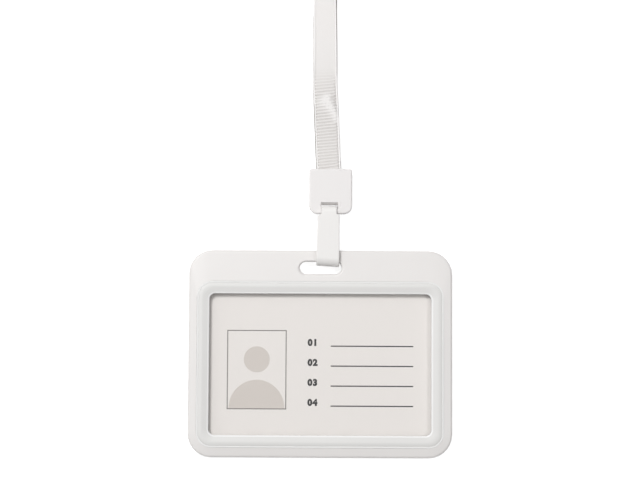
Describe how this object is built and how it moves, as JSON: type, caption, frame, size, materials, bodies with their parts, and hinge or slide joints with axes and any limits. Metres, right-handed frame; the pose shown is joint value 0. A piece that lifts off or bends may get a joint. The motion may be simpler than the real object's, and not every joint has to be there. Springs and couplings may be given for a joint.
{
  "type": "card holder with lanyard",
  "caption": "Rigid landscape card holder with a framed clear window and a sliding back, on a snap strap, a connector and a ribbed neck lanyard.",
  "frame": {"origin": "on the table under the middle of the holder, strap and connector together", "axes": "+X along the holder's long side to the right seen from the front, +Y from the holder towards the lanyard, +Z out of the window"},
  "size_m": [0.0982, 0.3112, 0.0095],
  "materials": {
    "white_abs": "white moulded ABS, satin",
    "frame_abs": "white moulded ABS, fine matt",
    "clear_sheet": "clear rigid plastic sheet",
    "printed_card": "pale printed card",
    "white_vinyl": "smooth white vinyl",
    "white_nylon": "white moulded nylon, satin",
    "plated_steel": "plated steel band",
    "white_polyester": "ribbed white polyester webbing"
  },
  "bodies": {
    "lanyard": {"connector_front": "white_nylon", "connector_back": "white_nylon", "webbing_crimp": "plated_steel", "webbing_front_leg": "white_polyester", "webbing_back_leg": "white_polyester", "webbing_coil": "white_polyester"},
    "strap": {"strap_band": "white_vinyl", "snap_socket": "white_nylon"},
    "strap_end": {"strap_tail": "white_vinyl", "snap_cap": "white_nylon"},
    "holder": {"front_shell": "white_abs", "window_bezel": "frame_abs", "clear_window": "clear_sheet"},
    "cover": {"rear_cover": "white_abs", "insert_card": "printed_card"}
  },
  "joints": [
    {"name": "strap_swing", "type": "hinge", "parent": "lanyard", "child": "strap", "pos_m": [0.00305, 0.0371, 0.00511], "axis": [1, 0, 0], "range_deg": [-80, 80]},
    {"name": "holder_tilt", "type": "hinge", "parent": "strap", "child": "holder", "pos_m": [0.00305, 0.02006, 0.00456], "axis": [1, 0, 0], "range_deg": [-30, 45]},
    {"name": "strap_end_peel", "type": "hinge", "parent": "strap", "child": "strap_end", "pos_m": [0.00305, 0.02415, 0.00166], "axis": [-1, 0, 0], "range_deg": [0, 110]},
    {"name": "cover_slide", "type": "slide", "parent": "holder", "child": "cover", "axis": [1, 0, 0], "range_m": [0, 0.085]}
  ]
}
